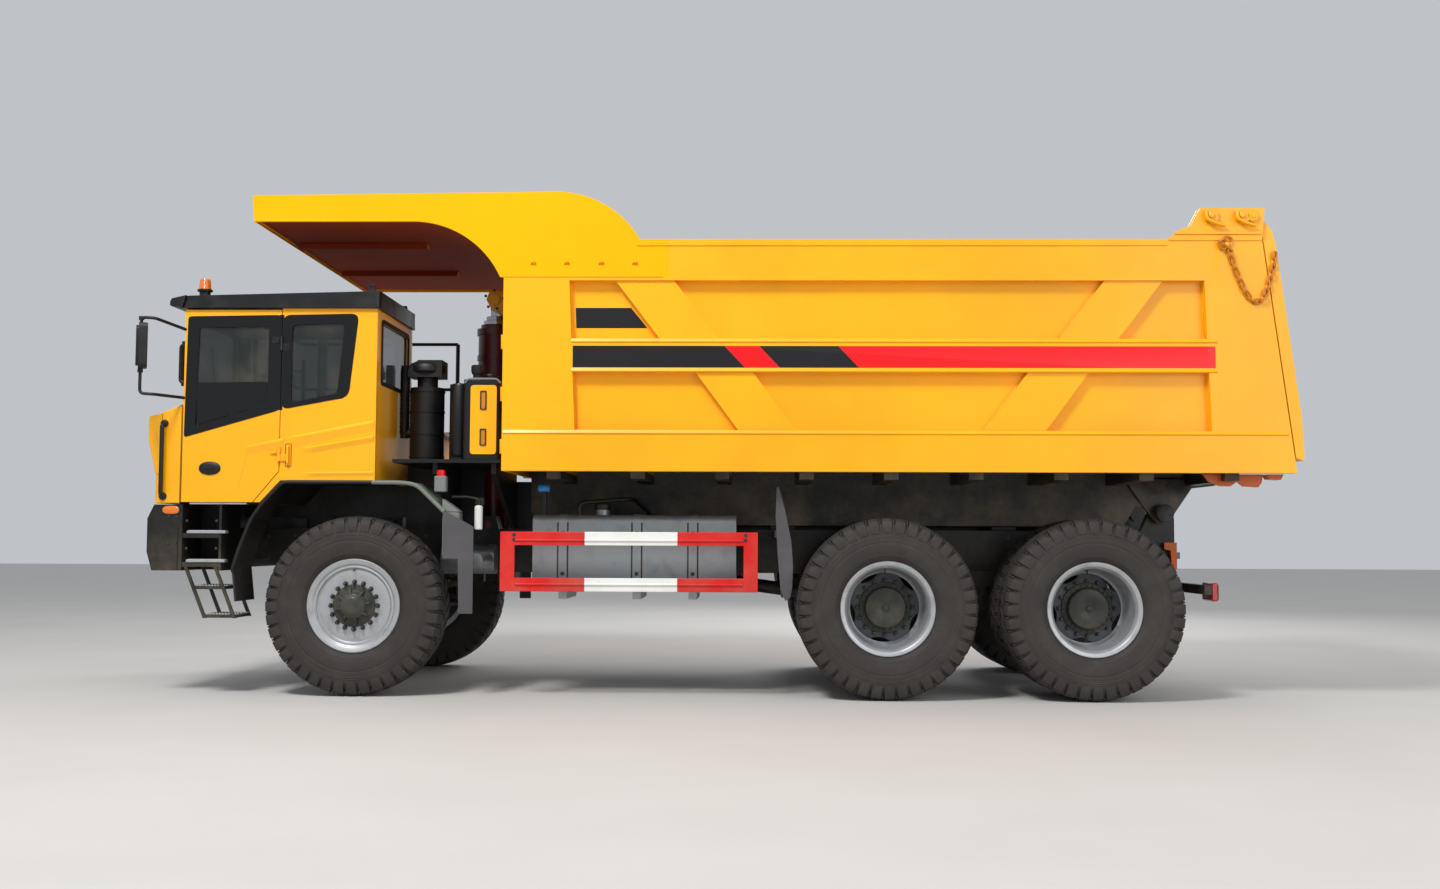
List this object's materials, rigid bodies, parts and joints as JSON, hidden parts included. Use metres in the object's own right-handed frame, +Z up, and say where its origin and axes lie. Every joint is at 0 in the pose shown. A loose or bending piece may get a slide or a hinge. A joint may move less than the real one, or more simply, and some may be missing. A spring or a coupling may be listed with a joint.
{
  "type": "mining dump truck",
  "caption": "Wide-body mining dump truck with an offset cab, ribbed dump body with a front canopy, underslung tailgate, twin rear wheels and a telescopic front hoist.",
  "frame": {"origin": "on the ground at the middle of the truck's length and width", "axes": "+X towards the front, +Y towards the truck's left, +Z up"},
  "size_m": [9.6684, 4.06, 4.1998],
  "materials": {
    "body_paint": "gloss",
    "canopy_paint": "satin",
    "frame_paint": "satin",
    "rim_paint": "satin",
    "tyre": "matt",
    "hoist_paint": "gloss",
    "hoist_chrome": "polished",
    "guard_paint": "gloss",
    "tank_metal": "satin",
    "fender_plastic": "matt",
    "rubber": "matt",
    "trim_plastic": "matt",
    "glass": "clear",
    "lamp": "gloss",
    "iron": "cast",
    "seat_fabric": "woven",
    "deck_metal": "satin"
  },
  "bodies": {
    "chassis": {"air_cleaner": "trim_plastic", "axles": "frame_paint", "bumper": "frame_paint", "cab_fittings": "trim_plastic", "cab_floor": "body_paint", "cab_front_panel": "body_paint", "cab_glass": "glass", "cab_left_panel": "body_paint", "cab_rear_panel": "body_paint", "cab_right_panel": "body_paint", "cab_roof": "trim_plastic", "coolers": "tank_metal", "deck": "deck_metal", "driver_seat": "seat_fabric", "engine_block": "iron", "engine_hood": "body_paint", "exhaust": "tank_metal", "fenders": "fender_plastic", "frame_rails": "frame_paint", "front_grille": "trim_plastic", "front_mask": "body_paint", "fuel_tank": "tank_metal", "hand_rails": "frame_paint", "hydraulic_tank": "body_paint", "lamps": "lamp", "leaf_springs": "frame_paint", "mirrors": "trim_plastic", "mudflaps": "rubber", "propeller_shafts": "frame_paint", "rear_shelf": "deck_metal", "right_side_tanks": "frame_paint", "side_guards": "guard_paint", "steps": "frame_paint"},
    "knuckle_left": {"knuckle_left": "iron"},
    "knuckle_right": {"knuckle_right": "iron"},
    "tie_rod": {"tie_rod": "frame_paint"},
    "front_wheel_left": {"tyre_front_left": "tyre", "wheel_front_left": "rim_paint"},
    "front_wheel_right": {"tyre_front_right": "tyre", "wheel_front_right": "rim_paint"},
    "forward_wheels_left": {"tyres_forward_left": "tyre", "wheel_forward_left": "rim_paint"},
    "forward_wheels_right": {"tyres_forward_right": "tyre", "wheel_forward_right": "rim_paint"},
    "aft_wheels_left": {"tyres_aft_left": "tyre", "wheel_aft_left": "rim_paint"},
    "aft_wheels_right": {"tyres_aft_right": "tyre", "wheel_aft_right": "rim_paint"},
    "door": {"cab_door": "body_paint", "door_glass": "glass"},
    "dump_body": {"body_floor": "body_paint", "body_sides": "body_paint", "body_front_wall": "body_paint", "canopy": "canopy_paint"},
    "tailgate": {"tailgate": "body_paint"},
    "hoist_barrel": {"hoist_barrel": "hoist_paint"},
    "hoist_stage_outer": {"hoist_stage_outer": "hoist_paint"},
    "hoist_stage_middle": {"hoist_stage_middle": "hoist_chrome"},
    "hoist_stage_inner": {"hoist_stage_inner": "hoist_chrome"}
  },
  "joints": [
    {"name": "steer_left", "type": "hinge", "parent": "chassis", "child": "knuckle_left", "pos_m": [3, 1.11, 0.7475], "axis": [0, 0, 1], "range_deg": [-30, 30]},
    {"name": "steer_right", "type": "hinge", "parent": "chassis", "child": "knuckle_right", "pos_m": [3, -1.11, 0.7475], "axis": [0, 0, 1], "range_deg": [-30, 30]},
    {"name": "tie_rod_turn", "type": "hinge", "parent": "knuckle_left", "child": "tie_rod", "pos_m": [2.67, 1.11, 0.7275], "axis": [0, 0, 1], "range_deg": [-30, 30]},
    {"name": "front_left_spin", "type": "hinge", "parent": "knuckle_left", "child": "front_wheel_left", "pos_m": [3, 1.445, 0.7475], "axis": [0, 1, 0], "continuous": true},
    {"name": "front_right_spin", "type": "hinge", "parent": "knuckle_right", "child": "front_wheel_right", "pos_m": [3, -1.445, 0.7475], "axis": [0, 1, 0], "continuous": true},
    {"name": "forward_left_spin", "type": "hinge", "parent": "chassis", "child": "forward_wheels_left", "pos_m": [-1.44, 1.56, 0.7475], "axis": [0, 1, 0], "continuous": true},
    {"name": "forward_right_spin", "type": "hinge", "parent": "chassis", "child": "forward_wheels_right", "pos_m": [-1.44, -1.56, 0.7475], "axis": [0, 1, 0], "continuous": true},
    {"name": "aft_left_spin", "type": "hinge", "parent": "chassis", "child": "aft_wheels_left", "pos_m": [-3.13, 1.56, 0.7475], "axis": [0, 1, 0], "continuous": true},
    {"name": "aft_right_spin", "type": "hinge", "parent": "chassis", "child": "aft_wheels_right", "pos_m": [-3.13, -1.56, 0.7475], "axis": [0, 1, 0], "continuous": true},
    {"name": "door_hinge", "type": "hinge", "parent": "chassis", "child": "door", "pos_m": [3.637, 1.664, 2.4], "axis": [0, 0, 1], "range_deg": [0, 70]},
    {"name": "dump_hinge", "type": "hinge", "parent": "chassis", "child": "dump_body", "pos_m": [-4, 0, 1.56], "axis": [0, -1, 0], "range_deg": [0, 45]},
    {"name": "gate_hinge", "type": "hinge", "parent": "dump_body", "child": "tailgate", "pos_m": [-4.44, 0, 3.99], "axis": [0, 1, 0], "range_deg": [0, 60]},
    {"name": "hoist_tilt", "type": "hinge", "parent": "chassis", "child": "hoist_barrel", "pos_m": [2.11, 0, 1.43], "axis": [0, -1, 0], "range_deg": [0, 28.65]},
    {"name": "hoist_outer_slide", "type": "slide", "parent": "hoist_barrel", "child": "hoist_stage_outer", "axis": [0, 0, 1], "range_m": [0, 1.5175]},
    {"name": "hoist_middle_slide", "type": "slide", "parent": "hoist_stage_outer", "child": "hoist_stage_middle", "axis": [0, 0, 1], "range_m": [0, 1.5175]},
    {"name": "hoist_inner_slide", "type": "slide", "parent": "hoist_stage_middle", "child": "hoist_stage_inner", "axis": [0, 0, 1], "range_m": [0, 1.5175]}
  ],
  "couplings": [
    {"joint": "steer_right", "follows": "steer_left", "ratio": 1},
    {"joint": "tie_rod_turn", "follows": "steer_left", "ratio": -1},
    {"joint": "hoist_tilt", "follows": "dump_hinge", "ratio": 0.6366},
    {"joint": "hoist_outer_slide", "follows": "dump_hinge", "m_per_rad": 1.9321},
    {"joint": "hoist_middle_slide", "follows": "dump_hinge", "m_per_rad": 1.9321},
    {"joint": "hoist_inner_slide", "follows": "dump_hinge", "m_per_rad": 1.9321}
  ]
}
